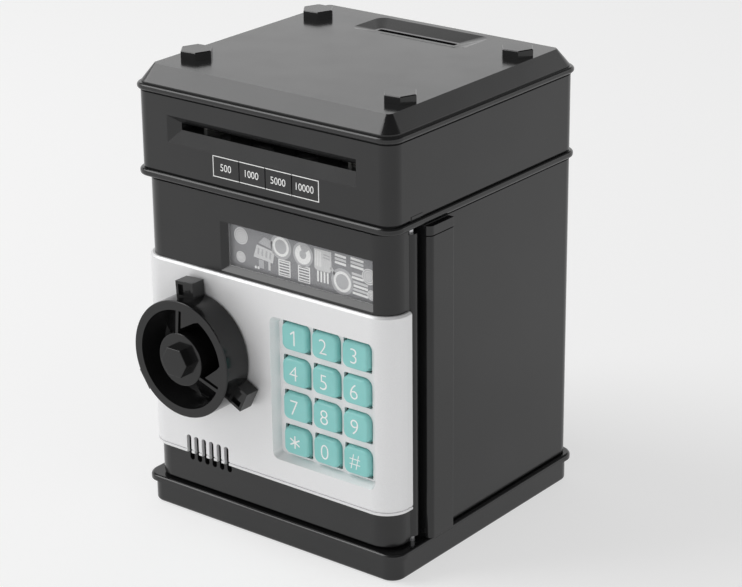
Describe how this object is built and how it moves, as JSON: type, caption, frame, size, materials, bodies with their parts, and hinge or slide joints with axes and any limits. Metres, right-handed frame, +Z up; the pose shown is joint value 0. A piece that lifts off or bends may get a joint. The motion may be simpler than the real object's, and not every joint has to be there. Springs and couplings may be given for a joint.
{
  "type": "toy savings bank",
  "caption": "Toy cash-machine savings bank: black box with a hinged keypad door, vault-wheel knob, motor-fed note slot in the head and coin slot in the lid.",
  "frame": {"origin": "on the surface that the bank stands on, under the middle of the case", "axes": "+X to the viewer's right when facing the door, +Y to the back, +Z up; the door faces -Y"},
  "size_m": [0.1327, 0.1422, 0.1915],
  "materials": {
    "case_black": "glossy injection-moulded charcoal-black ABS",
    "knob_black": "glossy black ABS",
    "silver_panel": "silver-painted ABS with a soft satin sheen",
    "key_turquoise": "satin turquoise ABS with a white printed numeral",
    "clear_window": "clear polystyrene",
    "printed_card": "grey printed card",
    "steel": "plated steel",
    "rubber": "soft black rubber",
    "white_plastic": "white acetal",
    "brass": "turned brass",
    "board_green": "green-lacquered board",
    "speaker_black": "black plastic and paper cone",
    "lamp": "diffused indicator lamp",
    "cell_wrap": "plain printed battery jacket"
  },
  "bodies": {
    "case": {"base_tray": "case_black", "base_screws": "steel", "body_shell": "case_black", "hinge_cover": "case_black", "hinge_cap": "case_black", "hinge_pins": "steel", "latch_keeper": "steel", "head_housing": "case_black", "head_screws": "steel", "lid_cover": "case_black", "lid_bolts": "case_black", "coin_chute": "case_black", "note_guide": "case_black", "note_sensor": "speaker_black", "roller_frame": "white_plastic", "feed_motor": "steel"},
    "door": {"door_frame": "case_black", "door_face_plate": "silver_panel", "knob_bush": "white_plastic", "display_lens": "clear_window", "display_card": "printed_card", "status_leds": "lamp", "keypad_membrane": "rubber", "circuit_board": "board_green", "board_screws": "steel", "speaker": "speaker_black", "lock_solenoid": "steel", "door_back_cover": "case_black", "door_screws": "steel", "battery_box": "case_black", "batteries": "cell_wrap", "battery_springs": "steel", "battery_contacts": "steel", "battery_cover": "case_black"},
    "knob": {"knob_wheel": "knob_black", "knob_cap": "knob_black", "knob_shaft": "steel", "latch_cam": "white_plastic", "latch_tongue": "steel"},
    "plunger": {"lock_plunger": "steel"},
    "feed_roller": {"drive_shaft": "steel", "drive_rollers": "rubber", "drive_gear": "white_plastic"},
    "pinch_roller": {"pinch_shaft": "steel", "pinch_rollers": "rubber"},
    "idler": {"idler_gear": "white_plastic"},
    "motor_rotor": {"motor_shaft": "steel", "motor_pinion": "brass"},
    "key_1": {"key_1": "key_turquoise"},
    "key_2": {"key_2": "key_turquoise"},
    "key_3": {"key_3": "key_turquoise"},
    "key_4": {"key_4": "key_turquoise"},
    "key_5": {"key_5": "key_turquoise"},
    "key_6": {"key_6": "key_turquoise"},
    "key_7": {"key_7": "key_turquoise"},
    "key_8": {"key_8": "key_turquoise"},
    "key_9": {"key_9": "key_turquoise"},
    "key_star": {"key_star": "key_turquoise"},
    "key_0": {"key_0": "key_turquoise"},
    "key_hash": {"key_hash": "key_turquoise"}
  },
  "joints": [
    {"name": "door_hinge", "type": "hinge", "parent": "case", "child": "door", "pos_m": [0.0603, -0.0455, 0.078], "axis": [0, 0, 1], "range_deg": [0, 95]},
    {"name": "knob_turn", "type": "hinge", "parent": "door", "child": "knob", "pos_m": [-0.0312, -0.069, 0.0759], "axis": [0, -1, 0], "range_deg": [0, 90]},
    {"name": "lock_plunger_slide", "type": "slide", "parent": "door", "child": "plunger", "axis": [0, 0, -1], "range_m": [0, 0.003], "stiffness_N_per_m": 120},
    {"name": "feed_roller_turn", "type": "hinge", "parent": "case", "child": "feed_roller", "pos_m": [0, -0.0425, 0.1619], "axis": [1, 0, 0], "continuous": true},
    {"name": "pinch_roller_turn", "type": "hinge", "parent": "case", "child": "pinch_roller", "pos_m": [0, -0.0425, 0.1704], "axis": [1, 0, 0], "continuous": true},
    {"name": "idler_turn", "type": "hinge", "parent": "case", "child": "idler", "pos_m": [0.0389, -0.02746, 0.15911], "axis": [1, 0, 0], "continuous": true},
    {"name": "motor_turn", "type": "hinge", "parent": "case", "child": "motor_rotor", "pos_m": [0.042, -0.01696, 0.15902], "axis": [1, 0, 0], "continuous": true},
    {"name": "key_1_press", "type": "slide", "parent": "door", "child": "key_1", "axis": [0, 1, 0], "range_m": [0, 0.001], "stiffness_N_per_m": 300},
    {"name": "key_2_press", "type": "slide", "parent": "door", "child": "key_2", "axis": [0, 1, 0], "range_m": [0, 0.001], "stiffness_N_per_m": 300},
    {"name": "key_3_press", "type": "slide", "parent": "door", "child": "key_3", "axis": [0, 1, 0], "range_m": [0, 0.001], "stiffness_N_per_m": 300},
    {"name": "key_4_press", "type": "slide", "parent": "door", "child": "key_4", "axis": [0, 1, 0], "range_m": [0, 0.001], "stiffness_N_per_m": 300},
    {"name": "key_5_press", "type": "slide", "parent": "door", "child": "key_5", "axis": [0, 1, 0], "range_m": [0, 0.001], "stiffness_N_per_m": 300},
    {"name": "key_6_press", "type": "slide", "parent": "door", "child": "key_6", "axis": [0, 1, 0], "range_m": [0, 0.001], "stiffness_N_per_m": 300},
    {"name": "key_7_press", "type": "slide", "parent": "door", "child": "key_7", "axis": [0, 1, 0], "range_m": [0, 0.001], "stiffness_N_per_m": 300},
    {"name": "key_8_press", "type": "slide", "parent": "door", "child": "key_8", "axis": [0, 1, 0], "range_m": [0, 0.001], "stiffness_N_per_m": 300},
    {"name": "key_9_press", "type": "slide", "parent": "door", "child": "key_9", "axis": [0, 1, 0], "range_m": [0, 0.001], "stiffness_N_per_m": 300},
    {"name": "key_star_press", "type": "slide", "parent": "door", "child": "key_star", "axis": [0, 1, 0], "range_m": [0, 0.001], "stiffness_N_per_m": 300},
    {"name": "key_0_press", "type": "slide", "parent": "door", "child": "key_0", "axis": [0, 1, 0], "range_m": [0, 0.001], "stiffness_N_per_m": 300},
    {"name": "key_hash_press", "type": "slide", "parent": "door", "child": "key_hash", "axis": [0, 1, 0], "range_m": [0, 0.001], "stiffness_N_per_m": 300}
  ],
  "couplings": [
    {"joint": "pinch_roller_turn", "follows": "feed_roller_turn", "ratio": -1},
    {"joint": "idler_turn", "follows": "feed_roller_turn", "ratio": -1.1111},
    {"joint": "motor_turn", "follows": "feed_roller_turn", "ratio": 2.5}
  ]
}
